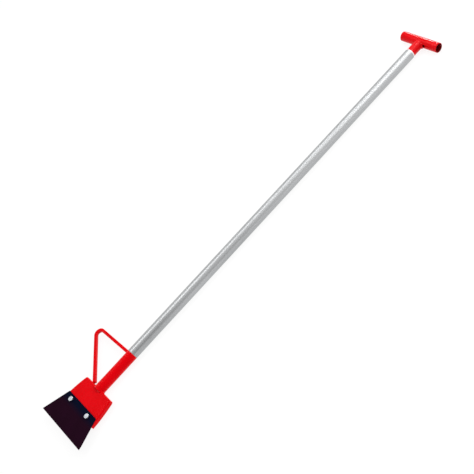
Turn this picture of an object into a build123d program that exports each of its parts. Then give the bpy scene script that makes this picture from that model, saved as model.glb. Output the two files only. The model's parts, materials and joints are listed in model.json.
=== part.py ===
from build123d import *
from math import cos, radians, tan
import os

# Long-handled scraper with a bolted steel blade, a foot-step rod and a T-handle. Millimetres.
#
# The pieces are drawn in the tool's own frame and moved at the end so that the tool lies on its
# back with its origin under the middle of its bounding box. In both frames +X runs up the pole
# from the blade to the handle, +Y points to the foot-step rod and +Z is the face with the blade.
# In the tool's frame x = 0 is the cutting edge, and the pole's axis is the X axis.

# Stations along the pole, from the cutting edge
BLADE_LENGTH = 83.0
BOLT_X = 70.9
PANEL_FOOT_X = 59.4
HEAD_TOP_X = 141.0
SOCKET_TOP_X = 266.1
POLE_TOP_X = 1455.0
CROSS_TUBE_X = 1505.0

# Tubes: 1 1/4 inch outside, with a thinner tube telescoped inside at both joints
POLE_OD = 31.75
POLE_WALL = 1.2
INNER_OD = 29.2
INNER_WALL = 2.0
SOCKET_SINK = 5.0
SPIGOT_REACH = 75.0
STEM_REACH = 70.0

# Blade
BLADE_EDGE_WIDTH = 191.0
BLADE_BACK_WIDTH = 133.0
BLADE_THICKNESS = 2.5
BLADE_CORNER = 1.5
BEVEL_LENGTH = 9.0
EDGE_LAND = 0.4

# Blade carrier: one pressed plate with a front panel, a top wall and two side flanges
PANEL_FRONT_Z = 8.1
CARRIER_BACK_Z = -5.6
CARRIER_TOP_WIDTH = 118.8
CARRIER_FOOT_WIDTH = 141.8
CARRIER_SIDE_BULGE = 2.1
CARRIER_CORNER = 5.5
CARRIER_BEND = 4.0
PLATE = 2.5

# M8 fasteners that hold the blade
BOLT_SPACING = 81.5
BOLT_HOLE_D = 9.0
SHANK_D = 7.9
SHANK_LENGTH = 16.0
SHANK_CHAMFER = 0.8
HEX_FLATS = 13.0
HEX_SIDES = 6
HEX_HALF_ANGLE = 180 / HEX_SIDES
HEAD_HEIGHT = 5.3
NUT_HEIGHT = 6.5
NUT_BORE_D = 8.0
HEX_CHAMFER_ANGLE = 30.0
WASHER_OD = 16.0
WASHER_ID = 8.4
WASHER_THICKNESS = 1.6
LOCK_OD = 14.8
LOCK_ID = 8.2
LOCK_THICKNESS = 2.0
LOCK_GAP = 1.2

# Foot-step rod, bent from one square bar
ROD_SIZE = 9.0
ROD_ROUND = 1.0
ROD_BEND = 13.0
ROD_SOCKET_X = SOCKET_TOP_X - ROD_SIZE / 2
ROD_CORNER_X = 256.6
ROD_CORNER_Y = 172.3
ROD_BASE_Y = 26.7
ROD_SOCKET_Y = 12.0
ROD_FOOT_RISE = 2.3
ROD_OVERRUN = 12.0

# T-handle
CROSS_TUBE_LENGTH = 134.0
CROSS_TUBE_OD = 30.0
CROSS_TUBE_WALL = 2.0
DRAIN_HOLE_D = 9.0
DRAIN_HOLE_Y = -22.5
DRAIN_HOLE_ANGLE = 77.0
GRIP_END_ROUND = 1.5
END_ROUND = 0.5

# Blind rivets through the pole and the tube inside it, on the foot-step rod's side
RIVET_D = 4.8
RIVET_HOLE_D = 4.9
RIVET_HEAD_D = 9.5
RIVET_HEAD_HEIGHT = 1.6
RIVET_TAIL_D = 6.6
RIVET_TAIL_HEIGHT = 4.0
RIVET_PIN_BORE_D = 2.2
RIVET_SKIRT = 1.0
RIVET_TAIL_SEAT = 0.6
RIVET_FIRST = 20.0
RIVET_PITCH = 30.0

# Welds
SOCKET_WELD = 2.6
HANDLE_WELD = 3.4
HANDLE_WELD_HEIGHT = 31.0
ROD_WELD = 1.8
ROD_WELD_STOP = 0.6
ROD_FOOT_WELD_Y = 29.6

POLE_R = POLE_OD / 2
INNER_R = INNER_OD / 2
POLE_BORE_R = POLE_R - POLE_WALL
CROSS_R = CROSS_TUBE_OD / 2
BLADE_FRONT_Z = PANEL_FRONT_Z + BLADE_THICKNESS
PANEL_BACK_Z = PANEL_FRONT_Z - PLATE
WASHER_BACK_Z = PANEL_BACK_Z - WASHER_THICKNESS
LOCK_BACK_Z = WASHER_BACK_Z - LOCK_THICKNESS
TUBE_FOOT_X = HEAD_TOP_X - SOCKET_SINK
LEFT = BOLT_SPACING / 2
RIGHT = -BOLT_SPACING / 2


def rod_along_x(radius, start, end):
    """A round bar on the X axis from start to end."""
    return Plane.YZ.offset(start) * extrude(Circle(radius), end - start)


def rod_along_y(radius, x, half_length):
    """A round bar across the pole's axis at station x."""
    return Pos(x, 0, 0) * Rot(90, 0, 0) * Cylinder(radius, 2 * half_length)


def rod_along_z(radius, x, y, low, high):
    """A round bar along Z at (x, y) from low to high."""
    return Pos(x, y, low) * extrude(Circle(radius), high - low)


def tube_along_x(outer, inner, start, end):
    """A round tube on the X axis."""
    return rod_along_x(outer, start, end) - rod_along_x(inner, start, end)


def blade():
    """A trapezoid of spring steel, flat in front, ground at the back of its cutting edge."""
    edge = BLADE_EDGE_WIDTH / 2
    back = BLADE_BACK_WIDTH / 2
    corners = ((0, -edge), (0, edge), (BLADE_LENGTH, back), (BLADE_LENGTH, -back))
    outline = make_face(Polyline(*corners, close=True))
    plate = Pos(0, 0, PANEL_FRONT_Z) * extrude(outline, BLADE_THICKNESS)
    back_corners = plate.edges().filter_by(Axis.Z).group_by(Axis.X)[-1]
    plate = fillet(back_corners, BLADE_CORNER)
    ground_face = make_face(Polyline(
        (0, PANEL_FRONT_Z),
        (BEVEL_LENGTH, PANEL_FRONT_Z),
        (0, BLADE_FRONT_Z - EDGE_LAND),
        close=True,
    ))
    bevel = Plane.XZ.offset(-BLADE_EDGE_WIDTH) * extrude(ground_face, 2 * BLADE_EDGE_WIDTH)
    for y in (LEFT, RIGHT):
        plate -= rod_along_z(BOLT_HOLE_D / 2, BOLT_X, y, PANEL_FRONT_Z, BLADE_FRONT_Z)
    return plate - bevel


def carrier_outline(inset, foot_x):
    """The carrier seen from the front, moved in by inset at its sides and top, down to foot_x."""
    slope = (CARRIER_FOOT_WIDTH - CARRIER_TOP_WIDTH) / 2 / (HEAD_TOP_X - PANEL_FOOT_X)
    top_x = HEAD_TOP_X - inset
    top = CARRIER_TOP_WIDTH / 2 - inset + slope * inset
    foot = CARRIER_FOOT_WIDTH / 2 - inset + slope * (PANEL_FOOT_X - foot_x)
    middle_x = (top_x + foot_x) / 2
    middle = (top + foot) / 2 + CARRIER_SIDE_BULGE
    left = ThreePointArc((foot_x, foot), (middle_x, middle), (top_x, top))
    right = ThreePointArc((top_x, -top), (middle_x, -middle), (foot_x, -foot))
    across_top = Line((top_x, top), (top_x, -top))
    across_foot = Line((foot_x, -foot), (foot_x, foot))
    return make_face([left, across_top, right, across_foot])


def carrier_block(inset, foot_x, back_z):
    """A solid with the carrier's outside shape, made smaller by inset, with its bends rounded."""
    front_z = PANEL_FRONT_Z - inset
    block = Pos(0, 0, back_z) * extrude(carrier_outline(inset, foot_x), front_z - back_z)
    top_corners = block.edges().filter_by(Axis.Z).group_by(Axis.X)[-1]
    block = fillet(top_corners, CARRIER_CORNER - inset)
    front_edges = block.edges().group_by(Axis.Z)[-1]
    bends = front_edges.sort_by(Axis.X)[1:]
    return fillet(bends, CARRIER_BEND - inset)


def blade_carrier():
    """The pressed plate that holds the blade: open at its foot and its back, notched for the socket."""
    outside = carrier_block(0, PANEL_FOOT_X, CARRIER_BACK_Z)
    inside = carrier_block(PLATE, PANEL_FOOT_X - PLATE, CARRIER_BACK_Z - PLATE)
    shell = outside - inside - rod_along_x(POLE_R, TUBE_FOOT_X, SOCKET_TOP_X)
    for y in (LEFT, RIGHT):
        shell -= rod_along_z(BOLT_HOLE_D / 2, BOLT_X, y, PANEL_BACK_Z, PANEL_FRONT_Z)
    return shell


def chamfered_hexagon(height, both_ends):
    """A hexagonal prism from z = 0, its corners turned off at 30 degrees at the top or at both ends."""
    flat_r = HEX_FLATS / 2
    angle = radians(HEX_CHAMFER_ANGLE)
    prism = extrude(RegularPolygon(flat_r / cos(radians(HEX_HALF_ANGLE)), HEX_SIDES), height)
    turned = Pos(0, 0, height / 2) * Cone(flat_r + height / tan(angle), flat_r, height)
    prism &= turned
    if both_ends:
        prism &= Pos(0, 0, height) * Rot(180, 0, 0) * turned
    return prism


def blade_bolt(y):
    """An M8 hexagon bolt whose head stands on the blade's front. Its thread is a plain cylinder."""
    head = Pos(BOLT_X, y, BLADE_FRONT_Z) * chamfered_hexagon(HEAD_HEIGHT, False)
    shank = rod_along_z(SHANK_D / 2, BOLT_X, y, BLADE_FRONT_Z - SHANK_LENGTH, BLADE_FRONT_Z)
    shank = chamfer(shank.edges().group_by(Axis.Z)[0], SHANK_CHAMFER)
    return head + shank


def flat_washer(y):
    """A flat washer on the back of the panel, under the lock washer."""
    disc = rod_along_z(WASHER_OD / 2, BOLT_X, y, WASHER_BACK_Z, PANEL_BACK_Z)
    return disc - rod_along_z(WASHER_ID / 2, BOLT_X, y, WASHER_BACK_Z, PANEL_BACK_Z)


def lock_washer(y):
    """A split spring washer, pressed flat between the flat washer and the nut."""
    ring = rod_along_z(LOCK_OD / 2, BOLT_X, y, LOCK_BACK_Z, WASHER_BACK_Z)
    ring -= rod_along_z(LOCK_ID / 2, BOLT_X, y, LOCK_BACK_Z, WASHER_BACK_Z)
    middle_z = (LOCK_BACK_Z + WASHER_BACK_Z) / 2
    split = Pos(BOLT_X + LOCK_OD / 2, y, middle_z) * Box(LOCK_OD, LOCK_GAP, 2 * LOCK_THICKNESS)
    return ring - split


def blade_nut(y):
    """An M8 nut inside the carrier."""
    low_z = LOCK_BACK_Z - NUT_HEIGHT
    nut = Pos(BOLT_X, y, low_z) * chamfered_hexagon(NUT_HEIGHT, True)
    return nut - rod_along_z(NUT_BORE_D / 2, BOLT_X, y, low_z, LOCK_BACK_Z)


def socket_tube():
    """The tube welded into the carrier's top wall. The pole butts on its upper end."""
    tube = tube_along_x(POLE_R, INNER_R, TUBE_FOOT_X, SOCKET_TOP_X)
    outer_rims = tube.edges().filter_by(GeomType.CIRCLE).sort_by(SortBy.RADIUS)[-2:]
    return fillet(outer_rims, END_ROUND)


def spigot_tube():
    """The inner tube pressed into the socket, on which the pole slides."""
    return tube_along_x(INNER_R, INNER_R - INNER_WALL, TUBE_FOOT_X, SOCKET_TOP_X + SPIGOT_REACH)


def rivet_stations(joint_x, direction):
    """The two rivets of a joint, counted from the pole's end into the pole."""
    first = joint_x + direction * RIVET_FIRST
    return first, first + direction * RIVET_PITCH


LOWER_RIVETS = rivet_stations(SOCKET_TOP_X, 1)
UPPER_RIVETS = rivet_stations(POLE_TOP_X, -1)


def drill_for_rivets(tube, stations):
    """Cuts the rivet holes into the tube's +Y wall."""
    for x in stations:
        tube -= Pos(x, POLE_R, 0) * Rot(90, 0, 0) * Cylinder(RIVET_HOLE_D / 2, POLE_R)
    return tube


def pole():
    """The long aluminium tube."""
    tube = tube_along_x(POLE_R, POLE_BORE_R, SOCKET_TOP_X, POLE_TOP_X)
    outer_rims = tube.edges().filter_by(GeomType.CIRCLE).sort_by(SortBy.RADIUS)[-2:]
    tube = fillet(outer_rims, END_ROUND)
    return drill_for_rivets(tube, LOWER_RIVETS + UPPER_RIVETS)


def rivet(x):
    """A blind rivet, set from outside: a domed head, a shank and a swollen tail inside the tubes."""
    half_head = RIVET_HEAD_D / 2
    half_shank = RIVET_D / 2
    half_bore = RIVET_PIN_BORE_D / 2
    grip = POLE_R - INNER_R + INNER_WALL + RIVET_TAIL_SEAT
    dome = ((half_shank + half_head) / 2, RIVET_HEAD_HEIGHT * 3 / 4)
    head_profile = make_face([
        Line((half_bore, RIVET_HEAD_HEIGHT), (half_shank, RIVET_HEAD_HEIGHT)),
        ThreePointArc((half_shank, RIVET_HEAD_HEIGHT), dome, (half_head, 0)),
        Line((half_head, 0), (half_head, -RIVET_SKIRT)),
        Line((half_head, -RIVET_SKIRT), (half_bore, -RIVET_SKIRT)),
        Line((half_bore, -RIVET_SKIRT), (half_bore, RIVET_HEAD_HEIGHT)),
    ])
    tail_profile = make_face([
        Line((half_bore, 0), (half_shank, 0)),
        Line((half_shank, 0), (half_shank, -grip)),
        ThreePointArc(
            (half_shank, -grip),
            (RIVET_TAIL_D / 2, -grip - RIVET_TAIL_HEIGHT / 2),
            (half_bore, -grip - RIVET_TAIL_HEIGHT),
        ),
        Line((half_bore, -grip - RIVET_TAIL_HEIGHT), (half_bore, 0)),
    ])
    place = Pos(x, POLE_R, 0) * Rot(-90, 0, 0)
    head = place * revolve(Plane.XZ * head_profile, Axis.Z)
    head -= rod_along_x(POLE_R, x - POLE_OD, x + POLE_OD)
    return head + place * revolve(Plane.XZ * tail_profile, Axis.Z)


def handle_stem():
    """The tube that stands in the pole's end, coped to sit on the cross tube."""
    tube = tube_along_x(INNER_R, INNER_R - INNER_WALL, POLE_TOP_X - STEM_REACH, CROSS_TUBE_X)
    tube -= rod_along_y(CROSS_R, CROSS_TUBE_X, POLE_OD)
    return drill_for_rivets(tube, UPPER_RIVETS)


def handle_cross_tube():
    """The open-ended grip, with a drain hole beside the stem."""
    half = CROSS_TUBE_LENGTH / 2
    tube = rod_along_y(CROSS_R, CROSS_TUBE_X, half)
    tube -= rod_along_y(CROSS_R - CROSS_TUBE_WALL, CROSS_TUBE_X, half)
    rims = tube.edges().filter_by(GeomType.CIRCLE).sort_by(SortBy.RADIUS)
    tube = fillet(rims[-2:], GRIP_END_ROUND)
    drill = Pos(CROSS_TUBE_X, DRAIN_HOLE_Y, 0) * Rot(0, -DRAIN_HOLE_ANGLE, 0)
    return tube - drill * extrude(Circle(DRAIN_HOLE_D / 2), CROSS_TUBE_OD)


def handle_weld():
    """The bead around the stem where it meets the cross tube."""
    bead = rod_along_x(INNER_R + HANDLE_WELD, POLE_TOP_X, CROSS_TUBE_X)
    bead &= rod_along_y(CROSS_R + HANDLE_WELD, CROSS_TUBE_X, POLE_OD)
    bead &= Pos(CROSS_TUBE_X, 0, 0) * Box(POLE_OD * 2, POLE_OD * 2, HANDLE_WELD_HEIGHT)
    bead -= rod_along_y(CROSS_R, CROSS_TUBE_X, POLE_OD)
    return bead - rod_along_x(INNER_R, POLE_TOP_X, CROSS_TUBE_X)


def socket_weld():
    """The bead around the socket's foot, on the carrier's top wall and over its front bend."""
    bead = carrier_block(-SOCKET_WELD, PANEL_FOOT_X, CARRIER_BACK_Z)
    bead &= rod_along_x(POLE_R + SOCKET_WELD, TUBE_FOOT_X - SOCKET_WELD, HEAD_TOP_X + SOCKET_WELD)
    bead -= carrier_block(0, PANEL_FOOT_X, CARRIER_BACK_Z)
    return bead - rod_along_x(POLE_R, TUBE_FOOT_X, SOCKET_TOP_X)


def rod_path(foot_x):
    """The rod's centre line, from inside the socket's wall round the bend to station foot_x."""
    slope = (ROD_CORNER_Y - ROD_BASE_Y) / (ROD_CORNER_X - HEAD_TOP_X)
    corner = (ROD_CORNER_X, ROD_CORNER_Y)
    foot = (foot_x, ROD_BASE_Y + slope * (foot_x - HEAD_TOP_X))
    return FilletPolyline((ROD_SOCKET_X, ROD_SOCKET_Y), corner, foot, radius=ROD_BEND)


def rod_bar(margin, foot_x):
    """The square bar along the rod's centre line to foot_x, thicker by margin all round."""
    path = rod_path(foot_x)
    size = ROD_SIZE + 2 * margin
    start = Plane(origin=path @ 0, x_dir=(0, 0, 1), z_dir=path % 0)
    return sweep(start * RectangleRounded(size, size, ROD_ROUND + margin), path)


def foot_step_rod():
    """The bent bar, coped onto the socket. Its square foot stands on the top wall with one edge."""
    bar = rod_bar(0, HEAD_TOP_X + ROD_FOOT_RISE)
    middle_x = HEAD_TOP_X - CROSS_TUBE_X / 2
    below_wall = Pos(middle_x, 0, 0) * Box(CROSS_TUBE_X, CROSS_TUBE_X, CROSS_TUBE_X)
    return bar - rod_along_x(POLE_R, TUBE_FOOT_X, POLE_TOP_X) - below_wall


def rod_socket_weld():
    """The bead between the rod's upper end and the socket, which stops short of the socket's end."""
    half_way_x = (HEAD_TOP_X + ROD_SOCKET_X) / 2
    around_socket = rod_along_x(POLE_R + ROD_WELD, half_way_x, SOCKET_TOP_X - ROD_WELD_STOP)
    bead = rod_bar(ROD_WELD, HEAD_TOP_X) & around_socket
    return bead - rod_along_x(POLE_R, TUBE_FOOT_X, POLE_TOP_X) - foot_step_rod()


def rod_head_weld():
    """The bead between the edge of the rod's foot and the carrier's top wall."""
    on_wall = Pos(HEAD_TOP_X + ROD_WELD / 2, ROD_FOOT_WELD_Y + POLE_OD, 0)
    bead = rod_bar(ROD_WELD, HEAD_TOP_X - ROD_OVERRUN) & on_wall * Box(ROD_WELD, 2 * POLE_OD, POLE_OD)
    return bead - foot_step_rod()


def all_pieces():
    """Every piece by its node's name, in the tool's frame."""
    pieces = {
        "blade": blade(),
        "blade_carrier": blade_carrier(),
        "socket_tube": socket_tube(),
        "socket_weld": socket_weld(),
        "spigot_tube": drill_for_rivets(spigot_tube(), LOWER_RIVETS),
        "foot_step_rod": foot_step_rod(),
        "rod_socket_weld": rod_socket_weld(),
        "rod_head_weld": rod_head_weld(),
        "pole": pole(),
        "handle_stem": handle_stem(),
        "handle_cross_tube": handle_cross_tube(),
        "handle_weld": handle_weld(),
    }
    for side, y in (("left", LEFT), ("right", RIGHT)):
        pieces[f"blade_bolt_{side}"] = blade_bolt(y)
        pieces[f"flat_washer_{side}"] = flat_washer(y)
        pieces[f"lock_washer_{side}"] = lock_washer(y)
        pieces[f"blade_nut_{side}"] = blade_nut(y)
    for joint, stations in (("socket", LOWER_RIVETS), ("handle", UPPER_RIVETS)):
        for number, x in enumerate(stations, start=1):
            pieces[f"{joint}_rivet_{number}"] = rivet(x)
    return pieces


def main():
    os.makedirs("parts", exist_ok=True)
    pieces = all_pieces()
    box = Compound(children=[Compound([piece]) for piece in pieces.values()]).bounding_box()
    middle = box.center()
    to_floor = Pos(-middle.X, -middle.Y, -box.min.Z)
    for name, piece in pieces.items():
        export_step(to_floor * piece, f"parts/{name}.step")
    print("origin at tool x, y, z:", round(middle.X, 3), round(middle.Y, 3), round(box.min.Z, 3))
    print("size:", round(box.size.X, 3), round(box.size.Y, 3), round(box.size.Z, 3))


main()
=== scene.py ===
import json
from math import ceil, cos, pi, radians, sin, sqrt

import bmesh
import bpy
from mathutils import Matrix, Vector


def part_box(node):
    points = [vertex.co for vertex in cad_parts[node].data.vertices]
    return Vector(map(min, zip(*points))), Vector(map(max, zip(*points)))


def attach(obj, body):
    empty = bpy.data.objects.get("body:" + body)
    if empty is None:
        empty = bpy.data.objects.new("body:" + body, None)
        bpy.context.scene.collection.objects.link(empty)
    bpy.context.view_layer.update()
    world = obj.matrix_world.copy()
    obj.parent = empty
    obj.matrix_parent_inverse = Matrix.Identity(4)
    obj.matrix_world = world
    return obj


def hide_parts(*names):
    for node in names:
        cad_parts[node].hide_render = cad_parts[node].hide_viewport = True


# Looks of the long-handled scraper, built around its CAD model. Metres.
#
# The tool lies on its back: +X runs up the pole from the cutting edge, +Y points to the foot-step
# rod and +Z is the face with the blade. Places are worked out from the CAD nodes' boxes.

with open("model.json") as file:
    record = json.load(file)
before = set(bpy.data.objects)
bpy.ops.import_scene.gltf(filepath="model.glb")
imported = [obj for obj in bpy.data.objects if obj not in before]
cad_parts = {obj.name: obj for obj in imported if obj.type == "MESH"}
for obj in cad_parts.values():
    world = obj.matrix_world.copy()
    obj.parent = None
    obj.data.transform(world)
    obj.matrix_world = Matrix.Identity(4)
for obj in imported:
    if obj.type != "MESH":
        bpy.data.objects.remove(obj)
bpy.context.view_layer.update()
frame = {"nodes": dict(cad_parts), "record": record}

MM = 0.001

# Camera, measured from the point where the pole's axis crosses the line of the cutting edge. Its
# lens and sensor are in millimetres.
CAMERA_AT = Vector((0.2875, -1.4302, 1.6458))
CAMERA_FORWARD = Vector((0.1836, 0.6473, -0.7398))
CAMERA_UP = Vector((0.7218, 0.4222, 0.5485))
CAMERA_LENS = 60.5
SENSOR = 36.0

# Studio. The walls' brightness is WALL_LIGHT and rises to ROD_WALL_LIGHT on the rod's side. The other
# three values are added to it in parts of the walls.
FLOOR_SIZE = 30.0
FLOOR_COLOUR = 0.12
FLOOR_GLOW = 0.89
WALL_LIGHT = 0.60
FAR_CORNER_LIGHT = 0.60
ROD_WALL_LIGHT = 0.75
HORIZON_LIGHT = 0.45
GREY_WALL_LOSS = -0.24

# Where those parts of the walls begin and where they are at full strength, as coordinates of the
# direction in which they are seen
BEYOND_HANDLE_X = (0.12, 0.40)
OPPOSITE_ROD_Y = (0.15, -0.10)
ROD_SIDE_Y = (0.30, 0.80)
LOW_DOWN_Z = (0.30, 0.12)
GREY_WALL_X = (0.30, 0.12)
GREY_WALL_Y = (-0.50, -0.66)
GREY_WALL_Z = (0.15, 0.35)

# The values between which a noise texture mostly stays
NOISE_RANGE = (0.32, 0.68)

# A stretch that leaves almost nothing of a coordinate
FLATTENED = 1e-6

# Paint: the handle's is smoother and glossier than the head's. Inside the grip's bore, seen at its
# open ends, the red is darker: painted shade that sets in between two depths under the outer face.
PAINT_DARK = (0.64, 0.0008, 0.003)
PAINT_LIGHT = (0.72, 0.0014, 0.005)
BORE_PAINTED_SHADE = (0.26, 0.006, 0.008)
BORE_SHADE_STARTS = 0.9 * MM
BORE_SHADE_FULL = 1.3 * MM
PAINT_PEEL = 0.03 * MM
HEAD_GLOSS = 0.14
HEAD_TINT = 0.10
HANDLE_GLOSS = 0.22
HANDLE_TINT = 0.40
HEAD_ROUGHNESS = 0.20
HANDLE_ROUGHNESS = 0.12
ROUGHNESS_SPREAD = 0.03

# The pole's aluminium. A painted highlight turns it bright between two distances from its top end.
POLE_DARK = (0.396, 0.405, 0.412)
POLE_MIDDLE = (0.454, 0.463, 0.471)
POLE_LIGHT = (0.495, 0.501, 0.506)
PAINTED_END_HIGHLIGHT = (0.93, 0.92, 0.92)
END_HIGHLIGHT_STARTS = 4 * MM
END_HIGHLIGHT_FULL = 2 * MM
POLE_ROUGHNESS = (0.36, 0.50)
POLE_LINE_DEPTH = 0.015 * MM

# The blade's steel. It turns blue-black between two distances from its upper edge.
BLADE_DARK = (0.010, 0.0010, 0.006)
BLADE_LIGHT = (0.014, 0.0014, 0.009)
BLADE_BLUE = (0.0010, 0.0026, 0.0135)
BLADE_BLUE_STARTS = 30 * MM
BLADE_BLUE_FULL = 12 * MM
BLADE_ROUGHNESS = (0.40, 0.55)
BLADE_GLOSS = 0.02
BLADE_LINE_DEPTH = 0.006 * MM

# Bright metals: the colours that each one varies between
ZINC = ((0.49, 0.52, 0.55), (0.59, 0.62, 0.66))
BARE_STEEL = ((0.30, 0.31, 0.33), (0.38, 0.39, 0.41))
RIVET_ALUMINIUM = ((0.62, 0.62, 0.63), (0.70, 0.70, 0.71))
METAL_ROUGHNESS_RISE = 0.12

# Soft edges on plates and washers
PLATE_EDGE = 0.35 * MM
WASHER_EDGE = 0.25 * MM
SHARP_ANGLE = radians(25)
EDGE_SEGMENTS = 2
FLAT_ANGLE = radians(0.5)
JOIN_DISTANCE = 0.001 * MM

# Carrier: the radius of the bend between its panel and its top wall
CARRIER_BEND = 4.0 * MM

# Weld beads: their thickness, their ripples and how finely they are drawn
SOCKET_BEAD = 2.3 * MM
ROD_BEAD = 1.5 * MM
GRIP_BEAD_THIN = 1.1 * MM
GRIP_BEAD_THICK = 4.2 * MM
RIPPLE_PITCH = 2.2 * MM
RIPPLE_DEPTH = 0.10
RIPPLE_LEAD = 0.9 * MM
RINGS_PER_RIPPLE = 8
BEAD_STEP = RIPPLE_PITCH / RINGS_PER_RIPPLE
BEAD_SIDES = 16
CORNER_SMOOTHING = 14
BEND_STEPS = 6

# The rod's beads follow its rounded square outline. Turns are in degrees, counted from +X at the top
# and from +Y at the foot.
SQUARENESS = 8
BEAD_TURN_STEP = 3
ROD_TOP_TURN = (45, 316)
ROD_FOOT_TURN = (-90, 91)
ROD_FOOT_REACH = 0.3

# M8 bolts and nuts: the width across their flats, the round face as a share of it, the slope of the
# chamfer round that face, and the blunt corners' distance as a share of sharp ones'
HEX_FLATS = 13.0 * MM
HEX_FACE = 0.93
HEX_CHAMFER = 0.577
HEX_CORNER = 0.985
HEAD_HEIGHT = 5.3 * MM
SHANK_RADIUS = 3.95 * MM
NUT_BORE_RADIUS = 4.0 * MM
TIP_CHAMFER = 0.8 * MM
THREAD_PITCH = 1.25 * MM
THREAD_DEPTH = 0.68 * MM
STEPS_PER_THREAD = 8
TURNED_SIDES = 48

blade_low, blade_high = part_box("blade")
pole_low, pole_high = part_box("pole")
socket_low, socket_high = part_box("socket_tube")
carrier_low, carrier_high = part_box("blade_carrier")
grip_low, grip_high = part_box("handle_cross_tube")
stem_low, stem_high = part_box("handle_stem")
rod_low, rod_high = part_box("foot_step_rod")
foot_weld_low, foot_weld_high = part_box("rod_head_weld")

pole_middle = (pole_low + pole_high) / 2
grip_middle = (grip_low + grip_high) / 2
axis_y = pole_middle.y
axis_z = pole_middle.z
pole_radius = (pole_high.y - pole_low.y) / 2
grip_radius = (grip_high.z - grip_low.z) / 2
stem_radius = (stem_high.y - stem_low.y) / 2
rod_half = (rod_high.z - rod_low.z) / 2


# Materials

def new_material(name):
    """A material, its node tree and its Principled shader."""
    material = bpy.data.materials.new(name)
    material.use_nodes = True
    tree = material.node_tree
    return material, tree, tree.nodes["Principled BSDF"]


def place(tree, stretch=(1, 1, 1), origin=(0, 0, 0)):
    """Object coordinates in metres from origin, multiplied by stretch along each axis."""
    coordinates = tree.nodes.new("ShaderNodeTexCoord")
    mapping = tree.nodes.new("ShaderNodeMapping")
    mapping.vector_type = "TEXTURE"
    mapping.inputs["Location"].default_value = origin
    mapping.inputs["Scale"].default_value = [1 / factor for factor in stretch]
    tree.links.new(coordinates.outputs["Object"], mapping.inputs["Vector"])
    return mapping.outputs["Vector"]


def noise(tree, vector, scale=1.0, detail=3.0):
    """A noise texture's value."""
    node = tree.nodes.new("ShaderNodeTexNoise")
    node.inputs["Scale"].default_value = scale
    node.inputs["Detail"].default_value = detail
    tree.links.new(vector, node.inputs["Vector"])
    return node.outputs["Fac"]


def remap(tree, value, start, end, low=0.0, high=1.0):
    """Maps value from the range start to end onto low to high, and stops there."""
    node = tree.nodes.new("ShaderNodeMapRange")
    node.inputs["From Min"].default_value = start
    node.inputs["From Max"].default_value = end
    node.inputs["To Min"].default_value = low
    node.inputs["To Max"].default_value = high
    tree.links.new(value, node.inputs["Value"])
    return node.outputs["Result"]


def spread(tree, value, low=0.0, high=1.0):
    """Maps the usual range of a noise onto low to high."""
    return remap(tree, value, *NOISE_RANGE, low, high)


def mix(tree, factor, first, second):
    """A colour from first to second by factor. Both may be colours or other nodes' outputs."""
    node = tree.nodes.new("ShaderNodeMix")
    node.data_type = "RGBA"
    tree.links.new(factor, node.inputs["Factor"])
    for socket, colour in (("A", first), ("B", second)):
        if isinstance(colour, tuple):
            node.inputs[socket].default_value = (*colour, 1)
        else:
            tree.links.new(colour, node.inputs[socket])
    return node.outputs["Result"]


def bump(tree, shader, value, depth):
    """Raises the surface by depth, in metres, where value is 1."""
    node = tree.nodes.new("ShaderNodeBump")
    node.inputs["Distance"].default_value = depth
    tree.links.new(value, node.inputs["Height"])
    tree.links.new(node.outputs["Normal"], shader.inputs["Normal"])


def along(tree, axis):
    """One object coordinate, in metres."""
    split = tree.nodes.new("ShaderNodeSeparateXYZ")
    tree.links.new(place(tree), split.inputs["Vector"])
    return split.outputs[axis]


def red_paint(name, gloss, tint, roughness):
    """Glossy red powder coat: a nearly even colour with a faint orange peel.

    Returns the material, its node tree and its shader, and the colour's output for further mixing.
    """
    material, tree, shader = new_material(name)
    cloud = noise(tree, place(tree), scale=18)
    peel = noise(tree, place(tree), scale=700, detail=2)
    colour = mix(tree, spread(tree, cloud), PAINT_DARK, PAINT_LIGHT)
    sheen = spread(tree, cloud, roughness - ROUGHNESS_SPREAD, roughness + ROUGHNESS_SPREAD)
    tree.links.new(colour, shader.inputs["Base Color"])
    tree.links.new(sheen, shader.inputs["Roughness"])
    shader.inputs["Specular IOR Level"].default_value = gloss
    shader.inputs["Specular Tint"].default_value = (1, tint, tint, 1)
    bump(tree, shader, peel, PAINT_PEEL)
    return material, tree, shader, colour


def grip_paint():
    """The powder coat on the grip, with painted shade that darkens its bore."""
    material, tree, shader, red = red_paint("grip_paint", HANDLE_GLOSS, HANDLE_TINT, HANDLE_ROUGHNESS)
    from_axis = tree.nodes.new("ShaderNodeVectorMath")
    from_axis.operation = "LENGTH"
    tree.links.new(place(tree, (1, FLATTENED, 1), grip_middle), from_axis.inputs[0])
    distance = from_axis.outputs["Value"]
    # Painted shade: the red turns darker from a little under the grip's outer face inwards, into the
    # bore.
    bore_shade = remap(tree, distance, grip_radius - BORE_SHADE_STARTS, grip_radius - BORE_SHADE_FULL)
    tree.links.new(mix(tree, bore_shade, red, BORE_PAINTED_SHADE), shader.inputs["Base Color"])
    return material


def drawn_aluminium():
    """Mill-finish tube: satin, with fine drawing lines along it and a painted highlight at its top
    end.
    """
    material, tree, shader = new_material("pole_aluminium")
    lines = noise(tree, place(tree, stretch=(4, 1100, 1100)), detail=4)
    bands = noise(tree, place(tree, stretch=(1.5, 120, 120)), detail=2)
    cloud = noise(tree, place(tree, stretch=(6, 40, 40)))
    colour = mix(tree, spread(tree, cloud), POLE_DARK, POLE_MIDDLE)
    colour = mix(tree, spread(tree, bands, high=0.5), colour, POLE_LIGHT)
    x = along(tree, "X")
    # Painted highlight: the colour turns near-white over the last few millimetres below the top end.
    end = remap(tree, x, pole_high.x - END_HIGHLIGHT_STARTS, pole_high.x - END_HIGHLIGHT_FULL)
    tree.links.new(mix(tree, end, colour, PAINTED_END_HIGHLIGHT), shader.inputs["Base Color"])
    tree.links.new(spread(tree, lines, *POLE_ROUGHNESS), shader.inputs["Roughness"])
    shader.inputs["Metallic"].default_value = 1
    bump(tree, shader, lines, POLE_LINE_DEPTH)
    return material


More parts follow.
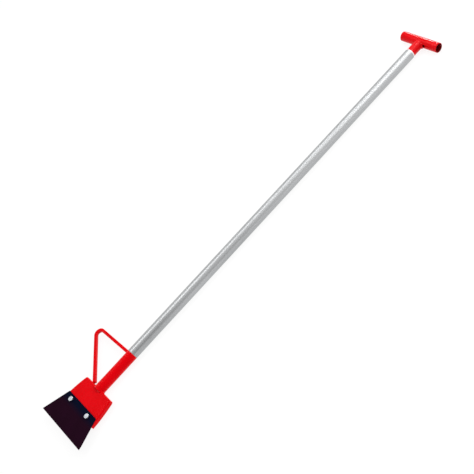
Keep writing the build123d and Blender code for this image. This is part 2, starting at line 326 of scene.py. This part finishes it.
def blued_steel():
    """Dark spring steel: faintly purple, blue-black beside the carrier, with fine rolling lines."""
    material, tree, shader = new_material("blade_steel")
    cloud = noise(tree, place(tree), scale=14, detail=4)
    grain = noise(tree, place(tree, stretch=(60, 1400, 1400)))
    purple = mix(tree, spread(tree, cloud), BLADE_DARK, BLADE_LIGHT)
    x = along(tree, "X")
    blue = remap(tree, x, blade_high.x - BLADE_BLUE_STARTS, blade_high.x - BLADE_BLUE_FULL)
    tree.links.new(mix(tree, blue, purple, BLADE_BLUE), shader.inputs["Base Color"])
    tree.links.new(spread(tree, grain, *BLADE_ROUGHNESS), shader.inputs["Roughness"])
    shader.inputs["Specular IOR Level"].default_value = BLADE_GLOSS
    bump(tree, shader, grain, BLADE_LINE_DEPTH)
    return material


def bare_metal(name, dark, light, roughness):
    """A bright metal with a slightly uneven finish."""
    material, tree, shader = new_material(name)
    cloud = noise(tree, place(tree), scale=300)
    sheen = spread(tree, cloud, roughness, roughness + METAL_ROUGHNESS_RISE)
    tree.links.new(mix(tree, spread(tree, cloud), dark, light), shader.inputs["Base Color"])
    tree.links.new(sheen, shader.inputs["Roughness"])
    shader.inputs["Metallic"].default_value = 1
    return material


looks = {
    "red_paint": red_paint("red_paint", HEAD_GLOSS, HEAD_TINT, HEAD_ROUGHNESS)[0],
    "pole_aluminium": drawn_aluminium(),
    "blade_steel": blued_steel(),
    "zinc_hardware": bare_metal("zinc_hardware", *ZINC, roughness=0.26),
    "inner_steel": bare_metal("inner_steel", *BARE_STEEL, roughness=0.35),
    "rivet_aluminium": bare_metal("rivet_aluminium", *RIVET_ALUMINIUM, roughness=0.30),
}
slots = {subpart["node"]: subpart["material_slot"] for subpart in frame["record"]["subparts"]}
handle_paint = red_paint("handle_paint", HANDLE_GLOSS, HANDLE_TINT, HANDLE_ROUGHNESS)[0]
own_looks = {
    "handle_cross_tube": grip_paint(),
    "handle_stem": handle_paint,
    "handle_weld": handle_paint,
}


def look_of(node):
    """A node's own material, or the one of its slot in the record."""
    return own_looks.get(node, looks[slots[node]])


def dress_nodes():
    """Gives every CAD node its material."""
    for node in slots:
        mesh = frame["nodes"][node].data
        mesh.materials.clear()
        mesh.materials.append(look_of(node))


# Pieces that stand for CAD nodes with more detail

def stand_for(node, name, form):
    """Makes the bmesh form a piece that replaces a CAD node and takes its material."""
    mesh = bpy.data.meshes.new(name)
    bmesh.ops.recalc_face_normals(form, faces=form.faces)
    form.to_mesh(mesh)
    form.free()
    mesh.materials.append(look_of(node))
    mesh.polygons.foreach_set("use_smooth", [True] * len(mesh.polygons))
    mesh.set_sharp_from_angle(angle=SHARP_ANGLE)
    piece = bpy.data.objects.new(name, mesh)
    bpy.context.scene.collection.objects.link(piece)
    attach(piece, "root")
    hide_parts(node)
    return piece


def soften(piece, width):
    """Rounds a piece's sharp edges."""
    bevel = piece.modifiers.new("soft_edges", "BEVEL")
    bevel.width = width
    bevel.segments = EDGE_SEGMENTS
    bevel.limit_method = "ANGLE"
    bevel.angle_limit = SHARP_ANGLE
    bevel.harden_normals = True


def plate_from(node):
    """A CAD node's mesh with its flat faces joined up, ready for softer edges."""
    form = bmesh.new()
    form.from_mesh(frame["nodes"][node].data)
    bmesh.ops.remove_doubles(form, verts=form.verts, dist=JOIN_DISTANCE)
    bmesh.ops.dissolve_limit(form, angle_limit=FLAT_ANGLE, verts=form.verts, edges=form.edges)
    return form


def sweep(points, radii, centre, closed):
    """A rippled bead along points, which run round centre.

    A closed one joins its end to its start, and an open one has a cap at each end.
    """
    form = bmesh.new()
    count = len(points)
    rings = []
    travelled = 0.0
    for index, (point, radius) in enumerate(zip(points, radii)):
        before = points[index - 1] if closed or index else point
        after = points[(index + 1) % count] if closed or index < count - 1 else point
        tangent = (after - before).normalized()
        outward = point - centre
        outward = (outward - outward.dot(tangent) * tangent).normalized()
        across = tangent.cross(outward)
        if index:
            travelled += (point - points[index - 1]).length
        ring = []
        for side in range(BEAD_SIDES):
            turn = 2 * pi * side / BEAD_SIDES
            phase = 2 * pi * (travelled + RIPPLE_LEAD * cos(turn)) / RIPPLE_PITCH
            reach = radius * (1 - RIPPLE_DEPTH * (1 + cos(phase)) / 2)
            away = cos(turn) * outward + sin(turn) * across
            ring.append(form.verts.new(point + reach * away))
        rings.append(ring)
    pairs = list(zip(rings, rings[1:]))
    if closed:
        pairs.append((rings[-1], rings[0]))
    else:
        form.faces.new(rings[0])
        form.faces.new(rings[-1])
    for ring, following in pairs:
        for side in range(BEAD_SIDES):
            form.faces.new((ring[side - 1], ring[side], following[side], following[side - 1]))
    return form


def even_bead(points, radius, centre):
    """An open bead of one thickness."""
    return sweep(points, [radius] * len(points), centre, False)


def bead_line(corners):
    """Evenly spaced points along a line through corners, which are rounded off."""
    points = [corners[0]]
    for start, end in zip(corners, corners[1:]):
        steps = max(1, round((end - start).length / BEAD_STEP))
        points += [start.lerp(end, (step + 1) / steps) for step in range(steps)]
    for _ in range(CORNER_SMOOTHING):
        threes = zip(points, points[1:], points[2:])
        middle = [(before + point + after) / 3 for before, point, after in threes]
        points = [points[0], *middle, points[-1]]
    return points


def add_grip_weld():
    """The bead where the stem's tube meets the grip's: thick at the sides, thin above and below."""
    steps = round(2 * pi * stem_radius / RIPPLE_PITCH) * RINGS_PER_RIPPLE
    points = []
    radii = []
    for step in range(steps):
        turn = 2 * pi * step / steps
        rise = stem_radius * cos(turn)
        back = sqrt(grip_radius ** 2 - rise ** 2)
        aside = stem_radius * sin(turn)
        points.append(Vector((grip_middle.x - back, axis_y + aside, grip_middle.z + rise)))
        radii.append(GRIP_BEAD_THIN + (GRIP_BEAD_THICK - GRIP_BEAD_THIN) * sin(turn) ** 2)
    centre = Vector((grip_middle.x - grip_radius / 2, axis_y, grip_middle.z))
    stand_for("handle_weld", "grip_weld_bead", sweep(points, radii, centre, True))


def squared(turn):
    """Where a ray at that angle leaves a rounded square of half-width 1."""
    reach = (abs(cos(turn)) ** SQUARENESS + abs(sin(turn)) ** SQUARENESS) ** (-1 / SQUARENESS)
    return reach * cos(turn), reach * sin(turn)


def add_rod_top_weld():
    """The bead where the rod's upper end meets the socket's side, open at the socket's end."""
    x = socket_high.x - rod_half
    corners = []
    for degrees in range(*ROD_TOP_TURN, BEAD_TURN_STEP):
        up, rise = squared(radians(degrees))
        out = sqrt(pole_radius ** 2 - (rod_half * rise) ** 2)
        corners.append(Vector((x + rod_half * up, axis_y + out, axis_z + rod_half * rise)))
    points = bead_line(corners)
    bead = even_bead(points, ROD_BEAD, Vector((x, axis_y + pole_radius, axis_z)))
    stand_for("rod_socket_weld", "rod_top_weld_bead", bead)


def add_rod_foot_weld():
    """The bead round the edge of the rod's foot that stands on the carrier's top wall."""
    y = foot_weld_low.y + ROD_BEAD
    reach = (foot_weld_high.y - foot_weld_low.y) * ROD_FOOT_REACH
    corners = []
    for degrees in range(*ROD_FOOT_TURN, BEAD_TURN_STEP):
        out, rise = squared(radians(degrees))
        corners.append(Vector((carrier_high.x, y + reach * out, axis_z + rod_half * rise)))
    points = bead_line(corners)
    bead = even_bead(points, ROD_BEAD, Vector((carrier_high.x, y, axis_z)))
    stand_for("rod_head_weld", "rod_foot_weld_bead", bead)


def socket_bead_side(side):
    """Half of the socket's bead: up the top wall, round the bend and down to the tube's foot."""
    bend_x = carrier_high.x - CARRIER_BEND
    bend_z = carrier_high.z - CARRIER_BEND
    route = [(carrier_high.x, carrier_low.z)]
    for step in range(BEND_STEPS + 1):
        turn = pi / 2 * step / BEND_STEPS
        route.append((bend_x + CARRIER_BEND * cos(turn), bend_z + CARRIER_BEND * sin(turn)))
    route.append((socket_low.x, carrier_high.z))
    points = []
    for x, z in route:
        out = sqrt(pole_radius ** 2 - (z - axis_z) ** 2)
        points.append(Vector((x, axis_y + side * out, z)))
    return points


def add_socket_weld():
    """The bead round the socket's foot."""
    points = bead_line(socket_bead_side(1) + socket_bead_side(-1)[::-1])
    bead = even_bead(points, SOCKET_BEAD, Vector((carrier_high.x, axis_y, axis_z)))
    stand_for("socket_weld", "socket_weld_bead", bead)


# Bolts and nuts

def hexagon(turn):
    """How far a hexagon's side is from its middle at that angle. Its corners are slightly blunt."""
    off_middle = (turn + pi / 6) % (pi / 3) - pi / 6
    return HEX_FLATS / 2 * min(1 / cos(off_middle), HEX_CORNER / cos(pi / 6))


def chamfer_drop(turn):
    """How much lower than the face the turned-off corner is at that angle."""
    return (hexagon(turn) - HEX_FACE * HEX_FLATS / 2) * HEX_CHAMFER


def turned(centre, profile_at, closed):
    """A surface round a vertical line through centre, from the radii and heights at each angle.

    A closed one also joins the profile's end to its start.
    """
    form = bmesh.new()
    columns = []
    for side in range(TURNED_SIDES):
        turn = 2 * pi * side / TURNED_SIDES
        outward = Vector((cos(turn), sin(turn), 0))
        column = []
        for radius, z in profile_at(turn):
            column.append(form.verts.new(centre + radius * outward + Vector((0, 0, z))))
        columns.append(column)
    first = 0 if closed else 1
    for side in range(TURNED_SIDES):
        column = columns[side - 1]
        following = columns[side]
        for index in range(first, len(column)):
            before = index - 1
            form.faces.new((column[before], column[index], following[index], following[before]))
    bmesh.ops.remove_doubles(form, verts=form.verts, dist=JOIN_DISTANCE)
    return form


def bolt_profile(length, turn):
    """A hexagon head above z = 0 and a threaded shank below it."""
    top = HEAD_HEIGHT
    face = HEX_FACE * HEX_FLATS / 2
    points = [(0, top), (face, top), (hexagon(turn), top - chamfer_drop(turn))]
    points += [(hexagon(turn), 0), (SHANK_RADIUS, 0)]
    steps = ceil(length / THREAD_PITCH * STEPS_PER_THREAD)
    for step in range(1, steps + 1):
        depth = length * step / steps
        groove = abs(2 * ((depth / THREAD_PITCH + turn / (2 * pi)) % 1) - 1)
        at_tip = SHANK_RADIUS - max(0, TIP_CHAMFER - (length - depth))
        points.append((min(SHANK_RADIUS - THREAD_DEPTH * groove, at_tip), -depth))
    points.append((0, -length))
    return points


def nut_profile(height, turn):
    """A hexagon nut from z = 0 up, from its bore outwards."""
    face = HEX_FACE * HEX_FLATS / 2
    drop = chamfer_drop(turn)
    upper = [(NUT_BORE_RADIUS, height), (face, height), (hexagon(turn), height - drop)]
    lower = [(hexagon(turn), drop), (face, 0), (NUT_BORE_RADIUS, 0)]
    return upper + lower


def add_fasteners(side):
    """A bolt with a real thread, its nut, and its washers with softer edges."""
    low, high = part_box(f"blade_bolt_{side}")
    under_head = Vector(((low.x + high.x) / 2, (low.y + high.y) / 2, high.z - HEAD_HEIGHT))
    length = high.z - HEAD_HEIGHT - low.z
    bolt = turned(under_head, lambda turn: bolt_profile(length, turn), False)
    stand_for(f"blade_bolt_{side}", f"bolt_{side}", bolt)
    nut_low, nut_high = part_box(f"blade_nut_{side}")
    foot = Vector((under_head.x, under_head.y, nut_low.z))
    nut = turned(foot, lambda turn: nut_profile(nut_high.z - nut_low.z, turn), True)
    stand_for(f"blade_nut_{side}", f"nut_{side}", nut)
    for washer in (f"flat_washer_{side}", f"lock_washer_{side}"):
        soften(stand_for(washer, f"soft_{washer}", plate_from(washer)), WASHER_EDGE)


dress_nodes()
soften(stand_for("blade", "blade_plate", plate_from("blade")), PLATE_EDGE)
soften(stand_for("blade_carrier", "carrier_pressing", plate_from("blade_carrier")), PLATE_EDGE)
add_socket_weld()
add_grip_weld()
add_rod_top_weld()
add_rod_foot_weld()
for hand in ("left", "right"):
    add_fasteners(hand)


# Studio

def add_floor():
    """A plain white floor, on which the tool lies. Its own glow keeps the tool's shadow faint."""
    half = FLOOR_SIZE / 2
    mesh = bpy.data.meshes.new("floor")
    corners = [(-half, -half, 0), (half, -half, 0), (half, half, 0), (-half, half, 0)]
    mesh.from_pydata(corners, [], [(0, 1, 2, 3)])
    floor = bpy.data.objects.new("floor", mesh)
    bpy.context.scene.collection.objects.link(floor)
    material, _, shader = new_material("floor")
    shader.inputs["Base Color"].default_value = (FLOOR_COLOUR, FLOOR_COLOUR, FLOOR_COLOUR, 1)
    shader.inputs["Roughness"].default_value = 1
    shader.inputs["Specular IOR Level"].default_value = 0
    shader.inputs["Emission Color"].default_value = (1, 1, 1, 1)
    shader.inputs["Emission Strength"].default_value = FLOOR_GLOW
    mesh.materials.append(material)


def aim(thing, forward, up):
    """Turns a camera or light so that it looks along forward."""
    back = -forward.normalized()
    right = up.cross(back).normalized()
    thing.rotation_euler = Matrix((right, back.cross(right), back)).transposed().to_euler()


def add_softbox(name, centre, target, width, height, radiance):
    """A rectangular light of even brightness that faces the target, its width along X."""
    light = bpy.data.lights.new(name, "AREA")
    light.shape = "RECTANGLE"
    light.size = width
    light.size_y = height
    light.energy = radiance * pi * width * height
    softbox = bpy.data.objects.new(name, light)
    bpy.context.scene.collection.objects.link(softbox)
    softbox.visible_camera = False
    softbox.location = centre
    forward = target - centre
    aim(softbox, forward, Vector((1, 0, 0)).cross(forward))


def combine(tree, operation, first, second):
    """The sum (ADD) or product (MULTIPLY) of two nodes' outputs."""
    node = tree.nodes.new("ShaderNodeMath")
    node.operation = operation
    tree.links.new(first, node.inputs[0])
    tree.links.new(second, node.inputs[1])
    return node.outputs["Value"]


def add_walls():
    """White walls, brighter low down, on the rod's side and, opposite it, beyond the handle.

    Higher up, the rest of the wall opposite the rod is greyer, which draws the dark line along the
    pole.
    """
    world = bpy.data.worlds.new("studio")
    bpy.context.scene.world = world
    world.use_nodes = True
    tree = world.node_tree
    direction = tree.nodes.new("ShaderNodeSeparateXYZ")
    coordinates = tree.nodes.new("ShaderNodeTexCoord")
    tree.links.new(coordinates.outputs["Generated"], direction.inputs["Vector"])
    x = direction.outputs["X"]
    y = direction.outputs["Y"]
    z = direction.outputs["Z"]
    beyond = remap(tree, x, *BEYOND_HANDLE_X)
    opposite = remap(tree, y, *OPPOSITE_ROD_Y, 0, FAR_CORNER_LIGHT)
    rod_side = remap(tree, y, *ROD_SIDE_Y, WALL_LIGHT, ROD_WALL_LIGHT)
    low_down = remap(tree, z, *LOW_DOWN_Z, 0, HORIZON_LIGHT)
    total = combine(tree, "MULTIPLY", beyond, opposite)
    total = combine(tree, "ADD", total, rod_side)
    total = combine(tree, "ADD", total, low_down)
    grey = remap(tree, y, *GREY_WALL_Y, 0, GREY_WALL_LOSS)
    grey = combine(tree, "MULTIPLY", grey, remap(tree, x, *GREY_WALL_X))
    grey = combine(tree, "MULTIPLY", grey, remap(tree, z, *GREY_WALL_Z))
    total = combine(tree, "ADD", total, grey)
    background = tree.nodes["Background"]
    background.inputs["Color"].default_value = (1, 1, 1, 1)
    tree.links.new(total, background.inputs["Strength"])


def add_studio():
    """The walls, two broad softboxes over the tool and two small ones for the handle's highlights."""
    add_walls()
    add_softbox(
        "long_softbox",
        centre=Vector((0.5, 0.95, 2.2)),
        target=Vector((0.5, 0, 0)),
        width=3.2,
        height=0.85,
        radiance=2.8,
    )
    add_softbox(
        "top_softbox",
        centre=Vector((2.2, -0.4, 2.1)),
        target=Vector((1.2, 0, 0)),
        width=1.6,
        height=2.0,
        radiance=2.0,
    )
    add_softbox(
        "stem_softbox",
        centre=grip_middle + Vector((1.09, -0.23, 2.01)),
        target=grip_middle,
        width=0.50,
        height=0.22,
        radiance=13,
    )
    add_softbox(
        "grip_softbox",
        centre=grip_middle + Vector((1.98, 1.50, 0.78)),
        target=grip_middle,
        width=0.16,
        height=0.50,
        radiance=32,
    )


def add_camera():
    """The camera, above the tool's lower half and off to the side opposite the rod."""
    camera = bpy.data.objects.new("camera", bpy.data.cameras.new("camera"))
    bpy.context.scene.collection.objects.link(camera)
    camera.location = Vector((blade_low.x, axis_y, axis_z)) + CAMERA_AT
    aim(camera, CAMERA_FORWARD, CAMERA_UP)
    camera.data.sensor_width = SENSOR
    camera.data.lens = CAMERA_LENS
    bpy.context.scene.camera = camera


add_floor()
add_studio()
add_camera()
bpy.context.scene.view_settings.view_transform = "Standard"
